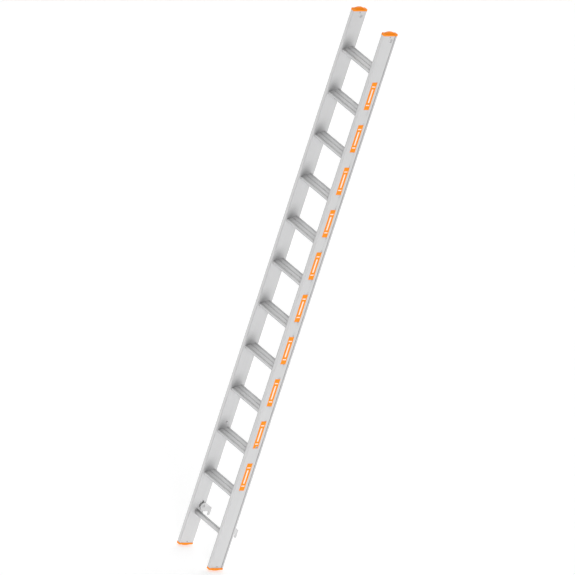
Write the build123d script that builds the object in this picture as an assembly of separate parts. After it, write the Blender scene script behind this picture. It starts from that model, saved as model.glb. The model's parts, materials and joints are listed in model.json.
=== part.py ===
from build123d import *
import math
import os

# Overall size of the section, in millimetres
clear_width = 293.0
stile_length = 3517.0
stile_depth = 100.0
stile_thickness = 26.0
seat_gap = 0.3
cut_over = 1.0

# Stile extrusion: a box tube with a sloping bead along its front and a guide slot near its rear
stile_wall = 1.8
bead_width = 10.5
bead_rise = 1.6
edge_round = 1.2
bore_round = 3.0
slot_width = 5.0
slot_depth = 5.0
slot_inset = 9.7
line_width = 2.0
line_depth = 1.3
line_inset = 1.0

# Treads, and the rung under them with its flat top and round underside
tread_count = 11
rung_height = 206.5
tread_rise = 263.8
top_margin = 250.8
tread_inset = 9.0
tread_tilt = 18.0
tread_depth = 76.0
tread_plate = 2.4
nose_height = 16.5
nose_thick = 4.5
nose_round = 2.0
nose_line_drop = 9.5
beam_width = 40.0
beam_height = 26.0
beam_wall = 2.0
groove_width = 1.4
groove_depth = 0.8
groove_step = 2.6
groove_rows = 3
band_count = 3
band_inset = 12.5
band_step = 27.0
aperture_gap = 0.2
stub_reach = 5.0
collar_lip = 3.0
collar_thick = 1.8
rung_width = 23.0
rung_depth = 31.0
rung_wall = 2.0
rung_edge_round = 3.0
rung_bead = 1.6
rung_bead_length = 2.0

# End caps: a rim as wide as the stile's end with a crowned dome on it
cap_overhang = 1.5
cap_edge = 9.0
cap_crown = 16.5
foot_edge = 11.5
foot_crown = 18.5
cap_corner = 4.0
cap_edge_round = 1.2
dome_ear = 12.0
dome_inset = 5.0
dome_round = 2.0
rim_notch = 4.5
plug_depth = 19.0
plug_wall = 2.5
sole_groove_count = 8
sole_groove_width = 2.0
sole_groove_depth = 1.2
pin_radius = 1.8
pin_head_radius = 3.2
pin_head_height = 1.0
pin_inset = 9.0
pin_shift = 2.0

# Round holes, and openings in the guide slots, at the top end
hole_radius = 11.5
hole_drop = 32.0
hole_shift = 18.0
notch_length = 33.0

# Hooks, their pivots and the windows for their stop lugs
pivot_inset = 12.0
pivot_rise = 37.5
hook_thick = 6.0
hook_standoff = 1.5
hook_end_radius = 25.0
hook_slope = 31.5
hook_reach = 48.0
throat_width = 34.0
throat_drop = 31.0
throat_round = 6.0
heel_cover = 1.0
hook_corner_round = 3.0
tip_round = 7.0
hook_tip_drop = 58.0
pivot_radius = 6.0
pivot_play = 0.05
pivot_head_radius = 9.0
pivot_head_height = 3.0
pivot_socket_radius = 3.2
pivot_socket_depth = 2.0
pivot_collar_radius = 9.0
pivot_collar_height = 3.0
washer_radius = 14.0
window_front = 34.0
window_rear = 7.0
window_drop = 9.0
window_top = 39.0
window_top_round = 12.0
window_foot_round = 3.0
lug_front = 25.0
lug_rear = 15.0
lug_height = 8.0
wire_radius = 0.8
coil_turns = 2
coil_gap = 0.8
coil_play = 0.2
leg_length = 24.0

# Labels on the right stile
label_width = 38.0
label_length = 180.0
label_thick = 0.3
label_count = 10
label_shift = -1.2
label_drop = 4.6

# Positions that follow from the sizes
half_clear = clear_width / 2
half_depth = stile_depth / 2
web_plane = stile_thickness - bead_rise
slot_floor = web_plane - slot_depth
slot_rear = half_depth - slot_inset
slot_front = slot_rear - slot_width
stile_foot = foot_crown
stile_top = stile_foot + stile_length
total_height = stile_top + cap_crown
rung_z = stile_foot + rung_height
first_tread_z = rung_z + tread_rise
pitch = (stile_top - top_margin - first_tread_z) / (tread_count - 1)
tread_y = tread_inset - half_depth
beam_start = (tread_depth - beam_width) / 2
pivot_y = half_depth - pivot_inset
pivot_z = rung_z + pivot_rise
hook_outer = pivot_inset + hook_reach
heel_y = pivot_inset - heel_cover
throat_end = heel_y + throat_width
coil_radius = pivot_inset - stile_wall - wire_radius - coil_play
coil_step = 2 * wire_radius + coil_gap
rest_y = -(lug_front + lug_rear) / 2
rest_z = lug_height - window_drop + wire_radius + coil_play
rest_span = math.sqrt(rest_y**2 + rest_z**2 - coil_radius**2)
rest_turn = math.atan2(rest_z, rest_y) % (2 * math.pi) - math.atan2(rest_span, coil_radius)
coil_length = (coil_turns + rest_turn / (2 * math.pi)) * coil_step
coil_start = half_clear + stile_wall + pivot_collar_height + coil_gap + wire_radius
lug_tip = coil_start + coil_length + 3 * wire_radius


def rect(x0, y0, x1, y1):
    return Pos((x0 + x1) / 2, (y0 + y1) / 2) * Rectangle(x1 - x0, y1 - y0)


def along_x(sketch, x0, x1):
    return extrude(Plane.YZ.offset(x0) * sketch, x1 - x0)


def rod(x0, x1, y, z, radius):
    return along_x(Pos(y, z) * Circle(radius), x0, x1)


def corners(sketch, points):
    found = []
    for v in sketch.vertices():
        for x, y in points:
            if abs(v.X - x) < 0.01 and abs(v.Y - y) < 0.01:
                found.append(v)
    return found


# Cross-section of the right stile, from the inner face outwards
def stile_section():
    points = [
        (0, -half_depth),
        (stile_thickness, -half_depth),
        (web_plane, bead_width - half_depth),
        (web_plane, slot_front),
        (slot_floor, slot_front),
        (slot_floor, slot_rear),
        (stile_thickness, slot_rear),
        (stile_thickness, half_depth),
        (0, half_depth),
    ]
    outer = make_face(Polyline(*points, close=True))
    ends = [(x, y) for x, y in points if abs(y) == half_depth]
    outer = fillet(corners(outer, ends), edge_round)
    bore_y = half_depth - stile_wall
    bore = rect(stile_wall, -bore_y, web_plane - stile_wall, bore_y)
    bore += rect(stile_wall, slot_rear + stile_wall, stile_thickness - stile_wall, bore_y)
    bore -= rect(slot_floor - stile_wall, slot_front - stile_wall, stile_thickness, slot_rear + stile_wall)
    bore = fillet(corners(bore, [(stile_wall, -bore_y), (web_plane - stile_wall, -bore_y)]), bore_round)
    line = rect(line_inset, -half_depth - cut_over, line_inset + line_width, line_depth - half_depth)
    return outer - bore - line


def tread_plane(index):
    lean = math.radians(tread_tilt)
    return Plane(
        origin=(0, tread_y, first_tread_z + index * pitch),
        x_dir=(0, math.cos(lean), math.sin(lean)),
        z_dir=(1, 0, 0),
    )


def rung_plane():
    lean = math.radians(tread_tilt)
    return Plane(origin=(0, 0, rung_z), x_dir=(0, math.cos(lean), math.sin(lean)), z_dir=(1, 0, 0))


def rung_outline(grow):
    half = rung_width / 2 + grow
    top = rung_depth / 2 + grow
    low = (rung_width - rung_depth) / 2
    block = rect(-half, low, half, top)
    block = fillet(corners(block, [(-half, top), (half, top)]), rung_edge_round + grow)
    return block + Pos(0, low) * Circle(half)


def beam_outline(grow):
    return rect(beam_start - grow, -beam_height - grow, beam_start + beam_width + grow, grow)


def make_stile():
    body = extrude(Pos(half_clear, 0, stile_foot) * stile_section(), stile_length)
    wall_in = half_clear - cut_over
    wall_out = half_clear + stile_wall + cut_over
    for i in range(tread_count):
        opening = tread_plane(i).offset(wall_in) * beam_outline(aperture_gap)
        body -= extrude(opening, wall_out - wall_in)
    body -= extrude(rung_plane().offset(wall_in) * rung_outline(seat_gap), wall_out - wall_in)
    far_side = half_clear + stile_thickness + cut_over
    body -= rod(wall_in, far_side, hole_shift, stile_top - hole_drop, hole_radius)
    for z in (stile_foot + pin_inset, stile_top - pin_inset):
        body -= rod(wall_in, far_side, pin_shift, z, pin_radius + seat_gap)
    notch = rect(slot_front, stile_top - notch_length, slot_rear, stile_top + cut_over)
    slot_back = half_clear + slot_floor - stile_wall - cut_over
    body -= along_x(notch, slot_back, half_clear + slot_floor + cut_over)
    body -= rod(wall_in, wall_out, pivot_y, pivot_z, pivot_radius + seat_gap)
    window = rect(-window_front, -window_drop, -window_rear, window_top)
    tops = [(-window_front, window_top), (-window_rear, window_top)]
    window = fillet(corners(window, tops), window_top_round)
    feet = [(-window_front, -window_drop), (-window_rear, -window_drop)]
    window = fillet(corners(window, feet), window_foot_round)
    body -= along_x(Pos(pivot_y, pivot_z) * window, wall_in, wall_out)
    return body


# A tread: ribbed plate with rounded noses over a hollow beam that goes through both inner walls
def make_tread(index):
    plate = rect(0, -tread_plate, tread_depth, 0)
    for start in (0, tread_depth - nose_thick):
        nose = rect(start, -nose_height, start + nose_thick, 0)
        plate += fillet(nose.vertices(), nose_round)
    hollow = rect(
        beam_start + beam_wall,
        beam_wall - beam_height,
        beam_start + beam_width - beam_wall,
        -tread_plate,
    )
    beam = beam_outline(0) - hollow
    section = plate + beam
    for b in range(band_count):
        for g in range(groove_rows):
            mid = band_inset + b * band_step + (g - (groove_rows - 1) / 2) * groove_step
            section -= rect(mid - groove_width / 2, -groove_depth, mid + groove_width / 2, cut_over)
    section -= rect(-cut_over, -nose_line_drop - groove_width, groove_depth, -nose_line_drop)
    base = tread_plane(index)
    body = extrude(base.offset(-half_clear) * section, clear_width)
    wall_end = half_clear + stile_wall
    ring = beam_outline(collar_lip) - beam_outline(0)
    for start in (half_clear, -wall_end - stub_reach):
        body += extrude(base.offset(start) * beam, stile_wall + stub_reach)
    for start in (wall_end, -wall_end - collar_thick):
        body += extrude(base.offset(start) * ring, collar_thick)
    return body


# The rung: a ribbed tube held by a bead outside and a collar inside each inner wall
def make_rung():
    base = rung_plane()
    wall_end = half_clear + stile_wall
    section = rung_outline(0)
    for g in range(groove_rows):
        mid = (g - (groove_rows - 1) / 2) * groove_step
        top = rung_depth / 2
        section -= rect(mid - groove_width / 2, top - groove_depth, mid + groove_width / 2, top + cut_over)
    body = extrude(base.offset(-half_clear) * section, clear_width)
    for start in (half_clear, -wall_end - stub_reach):
        body += extrude(base.offset(start) * rung_outline(0), stile_wall + stub_reach)
    for start in (half_clear - rung_bead_length, -half_clear):
        body += extrude(base.offset(start) * rung_outline(rung_bead), rung_bead_length)
    for start in (wall_end, -wall_end - collar_thick):
        body += extrude(base.offset(start) * rung_outline(collar_lip), collar_thick)
    reach = wall_end + stub_reach + cut_over
    return body - extrude(base.offset(-reach) * rung_outline(-rung_wall), 2 * reach)


# The foot of the right stile; the top cap is a like moulding turned over, with a plain dome
def make_cap(edge, crown, grooved):
    mid = half_clear + stile_thickness / 2
    wide = stile_thickness + 2 * cap_overhang
    long = stile_depth + 2 * cap_overhang
    drop = crown - edge
    rim = extrude(Pos(mid, 0, drop) * RectangleRounded(wide, long, cap_corner), edge)
    rim = fillet(rim.faces().sort_by(Axis.Z)[0].edges(), cap_edge_round)
    half_dome = long / 2 - dome_ear
    top = Line((half_dome, crown), (-half_dome, crown))
    left = Line((-half_dome, crown), (-half_dome, drop))
    arc = ThreePointArc((-half_dome, drop), (0, 0), (half_dome, drop))
    right = Line((half_dome, drop), (half_dome, crown))
    half_width = wide / 2 - dome_inset
    dome = along_x(make_face([top, left, arc, right]), mid - half_width, mid + half_width)
    dome = fillet(dome.edges().filter_by(GeomType.CIRCLE), dome_round)
    rim += dome
    if grooved:
        for i in range(sole_groove_count):
            y = (i - (sole_groove_count - 1) / 2) * 2 * half_dome / (sole_groove_count + 1)
            cut = Pos(mid, y, 0) * Box(wide, sole_groove_width, 2 * sole_groove_depth)
            rim -= Pos(0, 0, drop * (y / half_dome) ** 2) * cut
    notch = rect(half_clear + slot_floor, slot_front, half_clear + stile_thickness + wide, slot_rear)
    rim -= extrude(Pos(0, 0, crown - rim_notch) * notch, rim_notch + cut_over)
    plug_in = half_clear + stile_wall + seat_gap
    plug_out = half_clear + web_plane - stile_wall - seat_gap
    plug_front = stile_wall + seat_gap - half_depth
    plug_rear = slot_front - stile_wall - seat_gap
    plug = rect(plug_in, plug_front, plug_out, plug_rear)
    plug = fillet(corners(plug, [(plug_in, plug_front), (plug_out, plug_front)]), bore_round)
    core = rect(plug_in + plug_wall, plug_front + plug_wall, plug_out - plug_wall, plug_rear - plug_wall)
    rim += extrude(Pos(0, 0, crown) * (plug - core), plug_depth)
    bore_radius = pin_radius + seat_gap
    bore = rod(plug_in - cut_over, plug_out + cut_over, pin_shift, crown + pin_inset, bore_radius)
    return rim - bore


# Short rivets that hold each cap's plug through the two wide walls of the stile
def make_pins(side):
    inner = half_clear
    outer = half_clear + web_plane
    deep = stile_wall + seat_gap + plug_wall
    pins = []
    for z in (stile_foot + pin_inset, stile_top - pin_inset):
        head = rod(inner - pin_head_height, inner, pin_shift, z, pin_head_radius)
        pins.append(head + rod(inner, inner + deep, pin_shift, z, pin_radius))
        head = rod(outer, outer + pin_head_height, pin_shift, z, pin_head_radius)
        pins.append(head + rod(outer - deep, outer, pin_shift, z, pin_radius))
    if side < 0:
        pins = [mirror(pin, Plane.YZ) for pin in pins]
    return Compound(children=pins)


def hook_outline():
    slope = math.radians(hook_slope)
    top = (hook_end_radius * math.sin(slope), hook_end_radius * math.cos(slope))
    corner_z = top[1] - (hook_outer - top[0]) * math.tan(slope)
    heel = (heel_y, -throat_drop)
    turn = math.atan2(heel[1], heel[0]) - math.acos(hook_end_radius / math.hypot(heel[0], heel[1]))
    under = (hook_end_radius * math.cos(turn), hook_end_radius * math.sin(turn))
    points = [
        (0, 0),
        top,
        (hook_outer, corner_z),
        (hook_outer, -hook_tip_drop),
        (throat_end, -hook_tip_drop),
        (throat_end, -throat_drop),
        heel,
        under,
    ]
    plate = make_face(Polyline(*points, close=True))
    tips = [(hook_outer, -hook_tip_drop), (throat_end, -hook_tip_drop)]
    plate = fillet(corners(plate, tips), tip_round)
    plate = fillet(corners(plate, [(throat_end, -throat_drop)]), throat_round)
    plate = fillet(corners(plate, [(hook_outer, corner_z)]), hook_corner_round)
    return plate + Circle(hook_end_radius)


# The right hook plate, its stop lug reaching through the window into the stile
def make_hook():
    front = half_clear - hook_standoff - hook_thick
    back = half_clear - hook_standoff
    here = Pos(pivot_y, pivot_z)
    plate = along_x(here * hook_outline(), front, back)
    lug = rect(-lug_front, -window_drop, -lug_rear, lug_height - window_drop)
    plate += along_x(here * lug, back, lug_tip)
    bore_radius = pivot_radius + pivot_play
    return plate - rod(front - cut_over, back + cut_over, pivot_y, pivot_z, bore_radius)


def make_pivot():
    front = half_clear - hook_standoff - hook_thick
    inside = half_clear + stile_wall
    body = rod(front - pivot_head_height, front, pivot_y, pivot_z, pivot_head_radius)
    body += rod(front, inside, pivot_y, pivot_z, pivot_radius)
    body += rod(inside, inside + pivot_collar_height, pivot_y, pivot_z, pivot_collar_radius)
    spigot = coil_radius - wire_radius - coil_gap
    body += rod(inside, coil_start + coil_length, pivot_y, pivot_z, spigot)
    face = front - pivot_head_height
    socket_end = face + pivot_socket_depth
    return body - rod(face - cut_over, socket_end, pivot_y, pivot_z, pivot_socket_radius)


def make_washer():
    ring = Circle(washer_radius) - Circle(pivot_radius + seat_gap)
    return along_x(Pos(pivot_y, pivot_z) * ring, half_clear - hook_standoff, half_clear)


# Torsion spring round the pivot inside the stile: one leg on the lug, one along the rear wall
def make_spring():
    axis = Plane(origin=(coil_start, pivot_y, pivot_z), x_dir=(0, 1, 0), z_dir=(1, 0, 0))
    turn = axis * Helix(coil_step, coil_length, coil_radius)
    fixed_leg = Line(turn @ 0 - (turn % 0) * leg_length, turn @ 0)
    lug_leg = Line(turn @ 1, turn @ 1 + (turn % 1) * rest_span)
    path = Wire([*fixed_leg.edges(), *turn.edges(), *lug_leg.edges()])
    return sweep(Plane(path @ 0, z_dir=path % 0) * Circle(wire_radius), path)


# Plain rectangles stuck to the sunk web of the right stile
def make_labels():
    web = half_clear + web_plane
    labels = []
    for i in range(label_count):
        z = first_tread_z + (i + 0.5) * pitch - label_drop
        block = Box(label_thick, label_width, label_length)
        labels.append(Pos(web + label_thick / 2, label_shift, z) * block)
    return Compound(children=labels)


def save(name, shape):
    export_step(shape, os.path.join("parts", name + ".step"))


def save_pair(name, shape):
    save("right_" + name, shape)
    save("left_" + name, mirror(shape, Plane.YZ))


os.makedirs("parts", exist_ok=True)
save_pair("stile", make_stile())
for i in range(tread_count):
    save("step_%02d" % (i + 1), make_tread(i))
save("bottom_rung", make_rung())
save_pair("foot", make_cap(foot_edge, foot_crown, True))
middle = Plane.XY.offset(total_height / 2)
save_pair("top_cap", mirror(make_cap(cap_edge, cap_crown, False), middle))
save("right_cap_rivets", make_pins(1))
save("left_cap_rivets", make_pins(-1))
save_pair("hook", make_hook())
save_pair("hook_pivot", make_pivot())
save_pair("hook_washer", make_washer())
save_pair("hook_spring", make_spring())
save("rail_labels", make_labels())
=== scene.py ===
import json
import math
import bpy
import bmesh
from mathutils import Matrix, Vector


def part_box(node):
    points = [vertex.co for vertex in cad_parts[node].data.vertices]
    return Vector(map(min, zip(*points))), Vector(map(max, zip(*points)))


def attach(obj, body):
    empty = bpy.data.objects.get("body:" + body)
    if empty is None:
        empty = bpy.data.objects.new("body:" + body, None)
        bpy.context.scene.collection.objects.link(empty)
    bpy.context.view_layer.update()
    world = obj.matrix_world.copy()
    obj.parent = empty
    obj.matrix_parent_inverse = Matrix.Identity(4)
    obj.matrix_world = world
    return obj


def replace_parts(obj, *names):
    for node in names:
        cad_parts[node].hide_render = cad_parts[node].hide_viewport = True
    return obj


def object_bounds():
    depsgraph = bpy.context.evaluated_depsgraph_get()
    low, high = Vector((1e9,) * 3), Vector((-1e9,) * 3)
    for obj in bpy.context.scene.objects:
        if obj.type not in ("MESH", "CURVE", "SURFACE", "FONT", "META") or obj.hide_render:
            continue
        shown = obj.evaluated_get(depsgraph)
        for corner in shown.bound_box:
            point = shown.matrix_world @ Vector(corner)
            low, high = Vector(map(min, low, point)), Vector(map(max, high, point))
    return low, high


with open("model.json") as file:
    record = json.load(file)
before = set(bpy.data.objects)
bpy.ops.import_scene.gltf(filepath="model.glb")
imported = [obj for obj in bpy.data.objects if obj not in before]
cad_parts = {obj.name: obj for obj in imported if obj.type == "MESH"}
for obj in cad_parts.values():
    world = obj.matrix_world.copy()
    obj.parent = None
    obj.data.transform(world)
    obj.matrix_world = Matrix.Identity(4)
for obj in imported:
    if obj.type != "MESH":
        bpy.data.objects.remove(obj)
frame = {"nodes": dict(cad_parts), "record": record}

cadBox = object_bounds()
scene = bpy.context.scene
scene.view_settings.view_transform = "Standard"
print("frame loaded:", len(frame["nodes"]), "ladder pieces")

pureWhite = (1.0, 1.0, 1.0, 1.0)
sharpAngle = math.radians(30)   # edges that turn more than this stay hard
noiseSpan = (0.3, 0.7)          # where most of a noise field lies
cornerSpan = (0.15, 0.75)       # how closed in a corner is, from fully shaded to clear
cornerSamples = 8
coolness = 1.002                # bare metal is a touch blue


# small helpers for objects and meshes
def addObject(name, data):
    thing = bpy.data.objects.new(name, data)
    scene.collection.objects.link(thing)
    return thing


def meshFrom(bm, name):
    mesh = bpy.data.meshes.new(name)
    bm.to_mesh(mesh)
    bm.free()
    return mesh


# camera: a very long lens, so the picture is close to a parallel projection
cameraSetup = {
    "lens": 1700.0,
    "sensor": 36.0,
    "nearest": 1.0,                     # nothing closer to the lens is drawn
    "pictureWidth": 3.3687,             # metres across the picture at the ladder
    "aim": (-0.0008, 0.0008, 1.7903),
    "right": (0.5531, 0.7811, 0.2899),  # picture's right and up, in the ladder's frame
    "up": (-0.4643, 0.0, 0.8857),
}


def placeCamera(setup):
    right = Vector(setup["right"]).normalized()
    back = right.cross(Vector(setup["up"])).normalized()
    up = back.cross(right)
    distance = setup["pictureWidth"] * setup["lens"] / setup["sensor"]
    camData = bpy.data.cameras.new("ladderCamera")
    camData.lens = setup["lens"]
    camData.sensor_width = setup["sensor"]
    camData.clip_start = setup["nearest"]
    camData.clip_end = distance * 2
    cam = addObject("ladderCamera", camData)
    turn = Matrix((right, up, back)).transposed().to_4x4()
    cam.matrix_world = Matrix.Translation(Vector(setup["aim"]) + back * distance) @ turn
    scene.camera = cam


placeCamera(cameraSetup)
print("camera placed")


# small helpers for node trees, where x and y are places in the node editor
def addNode(tree, kind, x, y, label=""):
    node = tree.nodes.new(kind)
    node.location = (x, y)
    node.label = label
    return node


def mathNode(tree, operation, x, y, first, second=None, third=None, clamp=False):
    node = addNode(tree, "ShaderNodeMath", x, y)
    node.operation = operation
    node.use_clamp = clamp
    for socket, value in zip(node.inputs, (first, second, third)):
        if value is None:
            continue
        if isinstance(value, (int, float)):
            socket.default_value = value
        else:
            tree.links.new(value, socket)
    return node.outputs[0]


def spread(tree, source, low, high, x, y, span=noiseSpan):
    node = addNode(tree, "ShaderNodeMapRange", x, y)
    node.inputs["From Min"].default_value = span[0]
    node.inputs["From Max"].default_value = span[1]
    node.inputs["To Min"].default_value = low
    node.inputs["To Max"].default_value = high
    tree.links.new(source, node.inputs["Value"])
    return node.outputs["Result"]


def splitPlace(tree, x, y, kind="Object"):
    where = addNode(tree, "ShaderNodeTexCoord", x, y)
    split = addNode(tree, "ShaderNodeSeparateXYZ", x + 200, y)
    tree.links.new(where.outputs[kind], split.inputs[0])
    return split.outputs


# one for what is seen straight, mirrored or through, and nothing for light on matt surfaces
def seenRays(tree, x, y):
    path = addNode(tree, "ShaderNodeLightPath", x, y).outputs
    direct = mathNode(tree, "ADD", x + 200, y, path["Is Camera Ray"], path["Is Glossy Ray"])
    return mathNode(tree, "ADD", x + 400, y, direct, path["Is Transmission Ray"], clamp=True)


def newMaterial(name):
    mat = bpy.data.materials.new(name)
    mat.use_nodes = True
    tree = mat.node_tree
    tree.nodes.clear()
    out = addNode(tree, "ShaderNodeOutputMaterial", 1200, 0)
    return mat, tree, out


# studio: white surround, soft light mostly from eye level and below, floor that keeps the shadow
studio = {
    "lowLevel": 0.64,         # what the surround gives to matt surfaces at eye level
    "highLevel": 0.33,        # and overhead
    "fadeHeight": 0.35,       # where it has faded to that, 1 is straight up
    "seenLevel": 1.0,         # how white the surround looks
    "floorRadius": 12.0,
    "floorSides": 96,
    "floorDrop": 0.001,       # how far under the feet it lies
    "floorColour": (0.62, 0.62, 0.62, 1.0),
    "floorGlow": 0.64,        # what the floor gives to matt surfaces
    "floorWhite": 0.52,       # white added to what the camera sees of the floor
    "lampDistance": 6.0,
    # where each lamp shines from, its light and how many degrees wide it is
    "lamps": {
        "keyLamp": {"fromSide": (0.84, -0.50, 0.22), "light": 1.42, "width": 22.0},
        "leftFrontLamp": {"fromSide": (-0.6, -0.4, 0.65), "light": 0.50, "width": 50.0},
        "leftRearLamp": {"fromSide": (-0.6, 0.4, 0.65), "light": 0.90, "width": 50.0},
        "rearLamp": {"fromSide": (-0.4, 1.0, 0.3), "light": 0.90, "width": 30.0},
    },
}


def makeSurround(setup):
    world = bpy.data.worlds.new("studioSurround")
    scene.world = world
    world.use_nodes = True
    tree = world.node_tree
    tree.nodes.clear()
    out = addNode(tree, "ShaderNodeOutputWorld", 900, 0)
    mix = addNode(tree, "ShaderNodeMixShader", 700, 0)
    soft = addNode(tree, "ShaderNodeBackground", 450, 100, "light on matt surfaces")
    white = addNode(tree, "ShaderNodeBackground", 450, -100, "seen and mirrored")
    height = splitPlace(tree, -200, 0, "Generated")["Z"]
    level = spread(tree, height, setup["lowLevel"], setup["highLevel"], 200, 0, (0.0, setup["fadeHeight"]))
    soft.inputs["Color"].default_value = pureWhite
    tree.links.new(level, soft.inputs["Strength"])
    white.inputs["Color"].default_value = pureWhite
    white.inputs["Strength"].default_value = setup["seenLevel"]
    tree.links.new(seenRays(tree, -200, 300), mix.inputs[0])
    tree.links.new(soft.outputs[0], mix.inputs[1])
    tree.links.new(white.outputs[0], mix.inputs[2])
    tree.links.new(mix.outputs[0], out.inputs["Surface"])


def makeFloor(setup):
    bm = bmesh.new()
    bmesh.ops.create_circle(bm, cap_ends=True, segments=setup["floorSides"], radius=setup["floorRadius"])
    floor = addObject("studioFloor", meshFrom(bm, "studioFloor"))
    floor.location.z = -setup["floorDrop"]
    mat, tree, out = newMaterial("studioFloor")
    both = addNode(tree, "ShaderNodeAddShader", 700, 0)
    matt = addNode(tree, "ShaderNodeBsdfDiffuse", 450, 100)
    white = addNode(tree, "ShaderNodeEmission", 450, -100)
    matt.inputs["Color"].default_value = setup["floorColour"]
    white.inputs["Color"].default_value = pureWhite
    seen = seenRays(tree, -200, 300)
    glow = spread(tree, seen, setup["floorGlow"], setup["floorWhite"], 450, 300, (0.0, 1.0))
    tree.links.new(glow, white.inputs["Strength"])
    tree.links.new(matt.outputs[0], both.inputs[0])
    tree.links.new(white.outputs[0], both.inputs[1])
    tree.links.new(both.outputs[0], out.inputs["Surface"])
    floor.data.materials.append(mat)


def makeLamp(name, setup, distance):
    light = bpy.data.lights.new(name, "SUN")
    light.energy = setup["light"]
    light.angle = math.radians(setup["width"])
    lamp = addObject(name, light)
    side = Vector(setup["fromSide"])
    lamp.location = side * distance
    lamp.rotation_euler = side.to_track_quat("Z", "Y").to_euler()


makeSurround(studio)
makeFloor(studio)
for lampName, lampSetup in studio["lamps"].items():
    makeLamp(lampName, lampSetup, studio["lampDistance"])
print("studio ready")


# finishes
def newFinish(name):
    mat, tree, out = newMaterial(name)
    skin = addNode(tree, "ShaderNodeBsdfPrincipled", 900, 0)
    tree.links.new(skin.outputs[0], out.inputs["Surface"])
    return mat, tree, skin


def noiseField(tree, y, scale, detail, rough):
    where = addNode(tree, "ShaderNodeTexCoord", -1100, y)
    stretch = addNode(tree, "ShaderNodeMapping", -920, y)
    stretch.inputs["Scale"].default_value = scale
    tree.links.new(where.outputs["Object"], stretch.inputs["Vector"])
    field = addNode(tree, "ShaderNodeTexNoise", -720, y)
    field.inputs["Scale"].default_value = 1.0
    field.inputs["Detail"].default_value = detail
    field.inputs["Roughness"].default_value = rough
    tree.links.new(stretch.outputs[0], field.inputs["Vector"])
    return field.outputs["Fac"]


def ramp(tree, source, low, high, x, y, span=noiseSpan):
    node = addNode(tree, "ShaderNodeValToRGB", x, y)
    for stop, place, colour in zip(node.color_ramp.elements, span, (low, high)):
        stop.position = place
        stop.color = colour
    tree.links.new(source, node.inputs[0])
    return node.outputs["Color"]


def relief(tree, skin, height, depth, strength):
    node = addNode(tree, "ShaderNodeBump", 500, -350)
    node.inputs["Strength"].default_value = strength
    node.inputs["Distance"].default_value = depth
    tree.links.new(height, node.inputs["Height"])
    tree.links.new(node.outputs[0], skin.inputs["Normal"])


def tint(tree, base, over, amount, x, y, blend="MIX"):
    node = addNode(tree, "ShaderNodeMix", x, y)
    node.data_type = "RGBA"
    node.blend_type = blend
    sockets = [s for s in node.inputs if s.enabled]
    for socket, value in zip(sockets, (amount, base, over)):
        if isinstance(value, (int, float, tuple)):
            socket.default_value = value
        else:
            tree.links.new(value, socket)
    return [s for s in node.outputs if s.enabled][0]


def grey(level):
    return (level, level, level * coolness, 1.0)


# paints shade into corners within reach, looking out of the surface or leaning from there by lean
def cornerShade(tree, level, reach, x, y, lean=None, span=cornerSpan):
    corner = addNode(tree, "ShaderNodeAmbientOcclusion", x, y)
    corner.samples = cornerSamples
    corner.inputs["Distance"].default_value = reach
    if lean:
        surface = addNode(tree, "ShaderNodeNewGeometry", x - 600, y)
        leaning = addNode(tree, "ShaderNodeVectorMath", x - 400, y)
        leaning.inputs[1].default_value = lean
        unit = addNode(tree, "ShaderNodeVectorMath", x - 200, y)
        unit.operation = "NORMALIZE"
        tree.links.new(surface.outputs["Normal"], leaning.inputs[0])
        tree.links.new(leaning.outputs[0], unit.inputs[0])
        tree.links.new(unit.outputs[0], corner.inputs["Normal"])
    return ramp(tree, corner.outputs["AO"], grey(level), grey(1.0), x + 250, y, span)


# how much of the painted corner shadow a place takes: all of it between the stiles and in front, less
# behind, and only over the rung and over the treads
def paintedShadowAmount(tree, fade):
    place = splitPlace(tree, -900, -1150)
    outward = mathNode(tree, "ABSOLUTE", -500, -1050, place["X"])
    between = mathNode(tree, "LESS_THAN", -300, -1050, outward, fade["outward"])
    rear = spread(tree, place["Y"], 1.0, fade["left"], -500, -1200, fade["depth"])
    overRung = spread(tree, place["Z"], 0.0, 1.0, -500, -1450, fade["rungStart"])
    underHook = spread(tree, place["Z"], 1.0, 0.0, -500, -1700, fade["rungEnd"])
    overTreads = spread(tree, place["Z"], 0.0, 1.0, -500, -1950, fade["treadStart"])
    atRung = mathNode(tree, "MULTIPLY", -250, -1500, overRung, underHook)
    height = mathNode(tree, "MAXIMUM", 0, -1600, atRung, overTreads)
    inFront = mathNode(tree, "MULTIPLY", 0, -1150, between, rear)
    return mathNode(tree, "MULTIPLY", 200, -1150, inFront, height)


# one inside the hollow of a stile, where painted light brightens the metal, and nothing elsewhere
def paintedHollowLightAmount(tree, hollow):
    place = splitPlace(tree, -900, -2250)
    outward = mathNode(tree, "ABSOLUTE", -500, -2250, place["X"])
    depth = mathNode(tree, "ABSOLUTE", -500, -2400, place["Y"])
    pastInner = mathNode(tree, "GREATER_THAN", -300, -2250, outward, hollow["inner"])
    beforeWeb = mathNode(tree, "LESS_THAN", -300, -2400, outward, hollow["outer"])
    between = mathNode(tree, "MULTIPLY", -100, -2250, pastInner, beforeWeb)
    shallow = mathNode(tree, "LESS_THAN", -300, -2550, depth, hollow["depth"])
    return mathNode(tree, "MULTIPLY", 100, -2250, between, shallow)
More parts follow.
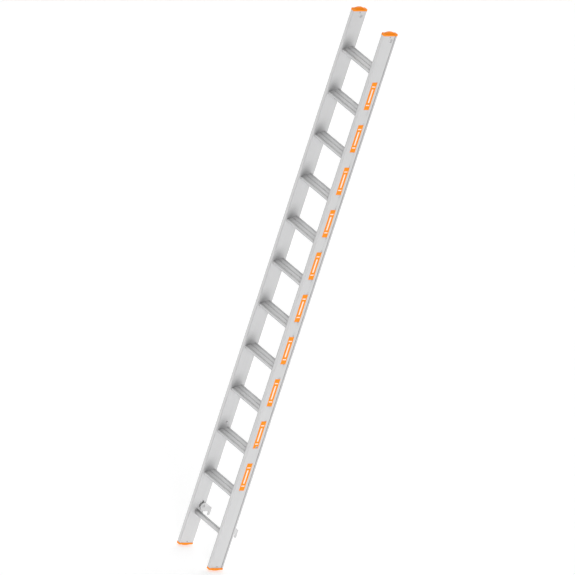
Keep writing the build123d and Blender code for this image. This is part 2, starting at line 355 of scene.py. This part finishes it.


# extruded aluminium: fine die lines along one axis, soft clouding, painted shade in the grooves and
# creases, painted shadow in the corners by the treads and the rung, and painted light inside the hollow of
# the stiles
extrusion = {
    "lineLength": 1.1,           # fineness along the axis, each look has its own across it
    "lines": {"detail": 3.0, "rough": 0.5},
    "cloudLength": 2.5,
    "cloudWidth": 14.0,
    "clouds": {"detail": 4.0, "rough": 0.6},
    "rubs": {"scale": (60.0, 60.0, 60.0), "detail": 6.0, "rough": 0.7},
    "paintedShadowSpan": (0.25, 0.78),
    "wearSpan": (0.12, 0.42),    # from smooth to rough
    "reliefDepth": 0.0004,
}
stileLook = {
    "along": 2,                  # axis of the die lines, 0 is x and 2 is z
    "dark": 0.597, "light": 0.624, "cloud": 0.97, "metallic": 0.12,
    "lineScale": 420.0, "lineDepth": 0.05, "smooth": 0.48, "rough": 0.62,
    # how dark and how far the painted crease shade reaches, then the same for the painted corner shadow
    "paintedCreaseShade": 0.60, "paintedCreaseReach": 0.006,
    "filmAndPaintedShadow": 0.40, "paintedShadowReach": 0.10, "paintedShadowLean": (0.0, 0.0, -1.0),
    # heights and depths in metres between which the painted corner shadow comes or goes
    "paintedShadowFade": {"outward": 0.1475, "depth": (-0.02, 0.03), "left": 0.35,
                 "rungStart": (0.14, 0.18), "rungEnd": (0.28, 0.32), "treadStart": (0.42, 0.46)},
    "hollow": {"inner": 0.1480, "outer": 0.1695, "depth": 0.0345, "paintedLightLevel": 0.92},
}
# treads a little darker than the stiles: painted shade for their upward faces
treadLook = {
    "along": 0,
    "dark": 0.57, "light": 0.61, "cloud": 0.97, "metallic": 0.12,
    "lineScale": 500.0, "lineDepth": 0.06, "smooth": 0.50, "rough": 0.65,
    "paintedCreaseShade": 0.52, "paintedCreaseReach": 0.004,
    "filmAndPaintedShadow": 0.75, "paintedShadowReach": 0.06, "paintedShadowLean": None,
    "paintedShadowFade": None, "hollow": None,
}
# rung darker than the stiles: painted shade for its upward face
rungLook = {
    "along": 0,
    "dark": 0.52, "light": 0.56, "cloud": 0.97, "metallic": 0.12,
    "lineScale": 600.0, "lineDepth": 0.05, "smooth": 0.44, "rough": 0.58,
    "paintedCreaseShade": 0.55, "paintedCreaseReach": 0.006,
    "filmAndPaintedShadow": 0.60, "paintedShadowReach": 0.10, "paintedShadowLean": (-1.0, 0.0, 0.0),
    "paintedShadowFade": None, "hollow": None,
}


def drawnScale(axis, along, across):
    return tuple(along if i == axis else across for i in range(3))


def extrudedFinish(name, setup):
    mat, tree, skin = newFinish(name)
    skin.inputs["Metallic"].default_value = setup["metallic"]
    lineScale = drawnScale(setup["along"], extrusion["lineLength"], setup["lineScale"])
    cloudScale = drawnScale(setup["along"], extrusion["cloudLength"], extrusion["cloudWidth"])
    lines = noiseField(tree, 400, lineScale, **extrusion["lines"])
    clouds = noiseField(tree, 50, cloudScale, **extrusion["clouds"])
    rubs = noiseField(tree, -300, **extrusion["rubs"])
    lined = ramp(tree, lines, grey(setup["dark"]), grey(setup["light"]), -450, 400)
    cloud = ramp(tree, clouds, grey(setup["cloud"]), grey(1.0), -450, 50)
    clouded = tint(tree, lined, cloud, 1.0, -150, 300, "MULTIPLY")
    # painted shade: darkens the grooves and the creases between parts
    paintedCreaseShade = cornerShade(tree, setup["paintedCreaseShade"], setup["paintedCreaseReach"], -450, -550)
    creaseShaded = tint(tree, clouded, paintedCreaseShade, 1.0, 150, 200, "MULTIPLY")
    # painted shadow: darkens the corners where the stiles meet the treads and the rung
    filmAndPaintedShadow = cornerShade(tree, setup["filmAndPaintedShadow"], setup["paintedShadowReach"], -450, -850,
                       setup["paintedShadowLean"], extrusion["paintedShadowSpan"])
    amount = paintedShadowAmount(tree, setup["paintedShadowFade"]) if setup["paintedShadowFade"] else 1.0
    body = tint(tree, creaseShaded, filmAndPaintedShadow, amount, 400, 200, "MULTIPLY")
    # painted light: brightens the inside of the hollow stiles, seen through the holes
    hollow = setup["hollow"]
    if hollow:
        body = tint(tree, body, grey(hollow["paintedLightLevel"]), paintedHollowLightAmount(tree, hollow), 650, 200)
    tree.links.new(body, skin.inputs["Base Color"])
    worn = mathNode(tree, "MULTIPLY", -450, -250, lines, rubs)
    sheen = spread(tree, worn, setup["smooth"], setup["rough"], 150, -150, extrusion["wearSpan"])
    tree.links.new(sheen, skin.inputs["Roughness"])
    relief(tree, skin, lines, extrusion["reliefDepth"], setup["lineDepth"])
    return mat


# tumbled or plated metal with a fine all-over grain
tumbling = {
    "grain": {"detail": 5.0, "rough": 0.6},
    "clouds": {"scale": (35.0, 35.0, 35.0), "detail": 3.0, "rough": 0.5},
    "reliefDepth": 0.0003,
}
hookLook = {
    "dark": 0.595, "light": 0.645, "metallic": 0.25,
    "paintedCreaseShade": 0.75, "paintedCreaseReach": 0.003, "paintedCreaseSpan": cornerSpan,
    "grain": 900.0, "smooth": 0.42, "rough": 0.62, "bite": 0.20,
}
pivotLook = {
    "dark": 0.58, "light": 0.64, "metallic": 0.35,
    "paintedCreaseShade": 0.05, "paintedCreaseReach": 0.008, "paintedCreaseSpan": (0.45, 0.95),
    "grain": 1400.0, "smooth": 0.30, "rough": 0.45, "bite": 0.08,
}
rivetLook = {
    "dark": 0.22, "light": 0.30, "metallic": 1.0,
    "paintedCreaseShade": 0.60, "paintedCreaseReach": 0.002, "paintedCreaseSpan": cornerSpan,
    "grain": 1800.0, "smooth": 0.30, "rough": 0.45, "bite": 0.08,
}
spacerLook = {
    "dark": 0.62, "light": 0.66, "metallic": 0.0,
    "paintedCreaseShade": 0.35, "paintedCreaseReach": 0.012, "paintedCreaseSpan": (0.15, 0.65),
    "grain": 900.0, "smooth": 0.50, "rough": 0.65, "bite": 0.05,
}
springLook = {
    "dark": 0.16, "light": 0.22, "metallic": 1.0,
    "paintedCreaseShade": 0.50, "paintedCreaseReach": 0.002, "paintedCreaseSpan": cornerSpan,
    "grain": 2200.0, "smooth": 0.25, "rough": 0.40, "bite": 0.05,
}


def grainyMetal(name, setup):
    mat, tree, skin = newFinish(name)
    skin.inputs["Metallic"].default_value = setup["metallic"]
    grain = noiseField(tree, 300, (setup["grain"],) * 3, **tumbling["grain"])
    clouds = noiseField(tree, -50, **tumbling["clouds"])
    body = ramp(tree, clouds, grey(setup["dark"]), grey(setup["light"]), -450, 200)
    # painted shade: darkens the creases and the corners of these small parts
    shade = cornerShade(tree, setup["paintedCreaseShade"], setup["paintedCreaseReach"], -450, -300, span=setup["paintedCreaseSpan"])
    tree.links.new(tint(tree, body, shade, 1.0, 150, 200, "MULTIPLY"), skin.inputs["Base Color"])
    sheen = spread(tree, grain, setup["smooth"], setup["rough"], 150, -100)
    tree.links.new(sheen, skin.inputs["Roughness"])
    relief(tree, skin, grain, tumbling["reliefDepth"], setup["bite"])
    return mat


# moulded plastic with a fine spark-eroded grain and pale rub marks
moulding = {
    "grain": {"detail": 4.0, "rough": 0.6},
    "clouds": {"scale": (45.0, 45.0, 45.0), "detail": 4.0, "rough": 0.6},
    "rubs": {"scale": (170.0, 60.0, 170.0), "detail": 6.0, "rough": 0.75},
    "rubSpan": (0.60, 0.78),
    "reliefDepth": 0.0003,
}
capLook = {
    "colour": (0.98, 0.280, 0.008, 1.0),
    "deep": (0.94, 0.260, 0.006, 1.0),
    "pale": (1.0, 0.40, 0.10, 1.0),
    "grain": 1500.0, "smooth": 0.50, "rough": 0.66, "bite": 0.15, "rubbed": 0.20, "shine": 0.2,
}
washerLook = {
    "colour": (0.22, 0.22, 0.225, 1.0),
    "deep": (0.17, 0.17, 0.175, 1.0),
    "pale": (0.40, 0.40, 0.40, 1.0),
    "grain": 1600.0, "smooth": 0.45, "rough": 0.60, "bite": 0.15, "rubbed": 0.2, "shine": 0.4,
}


def mouldedFinish(name, setup):
    mat, tree, skin = newFinish(name)
    grain = noiseField(tree, 400, (setup["grain"],) * 3, **moulding["grain"])
    clouds = noiseField(tree, 50, **moulding["clouds"])
    rubs = noiseField(tree, -300, **moulding["rubs"])
    body = ramp(tree, clouds, setup["deep"], setup["colour"], -450, 200)
    rubbed = spread(tree, rubs, 0.0, setup["rubbed"], -200, -300, moulding["rubSpan"])
    tree.links.new(tint(tree, body, setup["pale"], rubbed, 200, 200), skin.inputs["Base Color"])
    sheen = spread(tree, grain, setup["smooth"], setup["rough"], 200, -100)
    tree.links.new(sheen, skin.inputs["Roughness"])
    skin.inputs["Specular IOR Level"].default_value = setup["shine"]
    relief(tree, skin, grain, moulding["reliefDepth"], setup["bite"])
    return mat


# orange film on the right stile, printed with plain pale bars
labelLook = {
    "filmAndPaintedShadow": (0.98, 0.275, 0.004, 1.0),
    "faded": (0.96, 0.280, 0.008, 1.0),
    "ink": (0.92, 0.86, 0.78, 1.0),
    "inkHold": (0.95, 0.80),     # how much of the ink is left, from fresh film to faded
    "count": 10,
    "length": 0.180,
    # centre along the label, half length, half width of each bar
    "bars": ((0.030, 0.0035, 0.0120), (0.0905, 0.0440, 0.0050), (0.151, 0.0035, 0.0120)),
    "fading": {"scale": (30.0, 30.0, 9.0), "detail": 4.0, "rough": 0.6},
    "weave": {"scale": (1200.0, 1200.0, 1200.0), "detail": 3.0, "rough": 0.5},
    "smooth": 0.36, "rough": 0.50, "shine": 0.2,
    "reliefDepth": 0.0002, "bite": 0.06,
}


def labelFinish(name, setup):
    mat, tree, skin = newFinish(name)
    low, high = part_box("rail_labels")
    step = (high.z - low.z - setup["length"]) / (setup["count"] - 1)
    place = splitPlace(tree, -1500, 300)
    fromFirst = mathNode(tree, "SUBTRACT", -1100, 300, place["Z"], low.z)
    along = mathNode(tree, "MODULO", -900, 300, fromFirst, step)
    across = mathNode(tree, "SUBTRACT", -900, 100, place["Y"], (low.y + high.y) / 2)
    printed = 0.0
    for row, (centre, halfLength, halfWidth) in enumerate(setup["bars"]):
        y = 400 - 260 * row
        onLength = mathNode(tree, "COMPARE", -650, y, along, centre, halfLength)
        onWidth = mathNode(tree, "COMPARE", -650, y - 120, across, 0.0, halfWidth)
        bar = mathNode(tree, "MULTIPLY", -430, y, onLength, onWidth)
        printed = mathNode(tree, "MAXIMUM", -230, y, printed, bar)
    fading = noiseField(tree, -500, **setup["fading"])
    filmAndPaintedShadow = ramp(tree, fading, setup["filmAndPaintedShadow"], setup["faded"], -450, -500)
    inked = mathNode(tree, "MULTIPLY", 0, 200, printed, spread(tree, fading, *setup["inkHold"], -200, -500))
    tree.links.new(tint(tree, filmAndPaintedShadow, setup["ink"], inked, 250, 100), skin.inputs["Base Color"])
    weave = noiseField(tree, -850, **setup["weave"])
    sheen = spread(tree, weave, setup["smooth"], setup["rough"], 250, -200)
    tree.links.new(sheen, skin.inputs["Roughness"])
    skin.inputs["Specular IOR Level"].default_value = setup["shine"]
    relief(tree, skin, weave, setup["reliefDepth"], setup["bite"])
    return mat


finishes = {
    "stile_aluminium": extrudedFinish("stileAluminium", stileLook),
    "step_aluminium": extrudedFinish("treadAluminium", treadLook),
    "rung_aluminium": extrudedFinish("rungAluminium", rungLook),
    "orange_plastic": mouldedFinish("orangeCapPlastic", capLook),
    "rivet_steel": grainyMetal("rivetSteel", rivetLook),
    "hook_metal": grainyMetal("hookTumbledMetal", hookLook),
    "pivot_steel": grainyMetal("pivotZincSteel", pivotLook),
    "washer_nylon": mouldedFinish("washerNylon", washerLook),
    "spring_steel": grainyMetal("springWire", springLook),
    "label_orange": labelFinish("labelFilm", labelLook),
}
spacerFinish = grainyMetal("spacerAluminium", spacerLook)
print("finishes made:", len(finishes) + 1)

# cross hole over the second step, through both walls of each stile and the foot of the label there
crossHole = {
    "height": 0.821,
    "shift": 0.006,       # behind the middle of the stile
    "radius": 0.008,
    "sides": 48,
    "weld": 0.000001,     # corners this close become one before the cut
    "through": {
        "left_stile": "drilledLeftStile",
        "right_stile": "drilledRightStile",
        "rail_labels": "drilledLabels",
    },
}


def drillBit(setup):
    sideways = Matrix.Rotation(math.radians(90), 4, "Y")
    place = Matrix.Translation((0.0, setup["shift"], setup["height"])) @ sideways
    length = 2 * (cadBox[1][0] - cadBox[0][0])
    bm = bmesh.new()
    bmesh.ops.create_cone(bm, cap_ends=True, segments=setup["sides"], radius1=setup["radius"],
                          radius2=setup["radius"], depth=length, matrix=place)
    return addObject("drillBit", meshFrom(bm, "drillBit"))


def keepResult(piece):
    depsgraph = bpy.context.evaluated_depsgraph_get()
    piece.data = bpy.data.meshes.new_from_object(piece.evaluated_get(depsgraph))
    piece.modifiers.clear()


def drillPiece(node, name, setup, bit):
    mesh = frame["nodes"][node].data.copy()
    bm = bmesh.new()
    bm.from_mesh(mesh)
    bmesh.ops.remove_doubles(bm, verts=bm.verts, dist=setup["weld"])
    bm.to_mesh(mesh)
    bm.free()
    piece = addObject(name, mesh)
    cut = piece.modifiers.new("crossHole", "BOOLEAN")
    cut.operation = "DIFFERENCE"
    cut.solver = "EXACT"
    cut.object = bit
    keepResult(piece)
    piece.data.shade_smooth()
    piece.data.set_sharp_from_angle(angle=sharpAngle)
    even = piece.modifiers.new("evenShading", "WEIGHTED_NORMAL")  # keeps the long flat walls flat
    even.keep_sharp = True
    keepResult(piece)
    piece.data.name = name
    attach(piece, "ladder")
    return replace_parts(piece, node)


bit = drillBit(crossHole)
drilled = {node: drillPiece(node, name, crossHole, bit) for node, name in crossHole["through"].items()}
bpy.data.objects.remove(bit)
print("cross hole drilled through:", len(drilled), "pieces")

# top caps with a higher crown than the solids have
crown = {
    "foot": 3.5355,       # the crown is stretched up from this height
    "stretch": 1.32,
    "caps": {"left_top_cap": "crownedLeftCap", "right_top_cap": "crownedRightCap"},
}


def raiseCrown(node, name, setup):
    mesh = frame["nodes"][node].data.copy()
    mesh.name = name
    for vert in mesh.vertices:
        if vert.co.z > setup["foot"]:
            vert.co.z = setup["foot"] + (vert.co.z - setup["foot"]) * setup["stretch"]
    cap = addObject(name, mesh)
    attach(cap, "ladder")
    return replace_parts(cap, node)


crowned = {node: raiseCrown(node, name, crown) for node, name in crown["caps"].items()}
print("crowns raised:", len(crowned))

# spacer tubes between the walls of each stile, in line with its cross holes
topMount = next(m for m in frame["record"]["mounts"] if m["name"] == "top_cross_hole")
topHole = {
    "height": topMount["pos_m"][2],
    "shift": topMount["pos_m"][1],
    "radius": topMount["dims"]["r_mm"] / 1000,
}
spacers = {
    "inner": 0.1483,      # ends of the tubes, from the middle of the ladder
    "outer": 0.1691,
    "wall": 0.0014,
    "sides": 48,
    "holes": {"TopSpacer": topHole, "StepSpacer": crossHole},
}


def spacerTube(name, setup, hole, side):
    low, high = sorted((side * setup["inner"], side * setup["outer"]))
    bore = hole["radius"]
    outside = bore + setup["wall"]
    turns = [2 * math.pi * i / setup["sides"] for i in range(setup["sides"])]
    bm = bmesh.new()
    rings = []
    for x, radius in ((low, bore), (high, bore), (high, outside), (low, outside)):
        ring = []
        for turn in turns:
            y = hole["shift"] + radius * math.cos(turn)
            z = hole["height"] + radius * math.sin(turn)
            ring.append(bm.verts.new((x, y, z)))
        rings.append(ring)
    for ring, nextRing in zip(rings, rings[1:] + rings[:1]):
        for i in range(setup["sides"]):
            bm.faces.new((ring[i - 1], ring[i], nextRing[i], nextRing[i - 1]))
    bmesh.ops.recalc_face_normals(bm, faces=bm.faces)
    mesh = meshFrom(bm, name)
    mesh.shade_smooth()
    mesh.set_sharp_from_angle(angle=sharpAngle)
    mesh.materials.append(spacerFinish)
    tube = addObject(name, mesh)
    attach(tube, "ladder")


for sideName, side in (("left", -1), ("right", 1)):
    for holeName, hole in spacers["holes"].items():
        spacerTube(sideName + holeName, spacers, hole, side)
print("spacer tubes made:", 2 * len(spacers["holes"]))

# each piece takes the finish of its slot in the record
remade = {**drilled, **crowned}
for part in frame["record"]["subparts"]:
    piece = remade.get(part["node"], frame["nodes"][part["node"]])
    if not piece.material_slots:
        piece.data.materials.append(None)
    for matSlot in piece.material_slots:
        matSlot.material = finishes[part["material_slot"]]
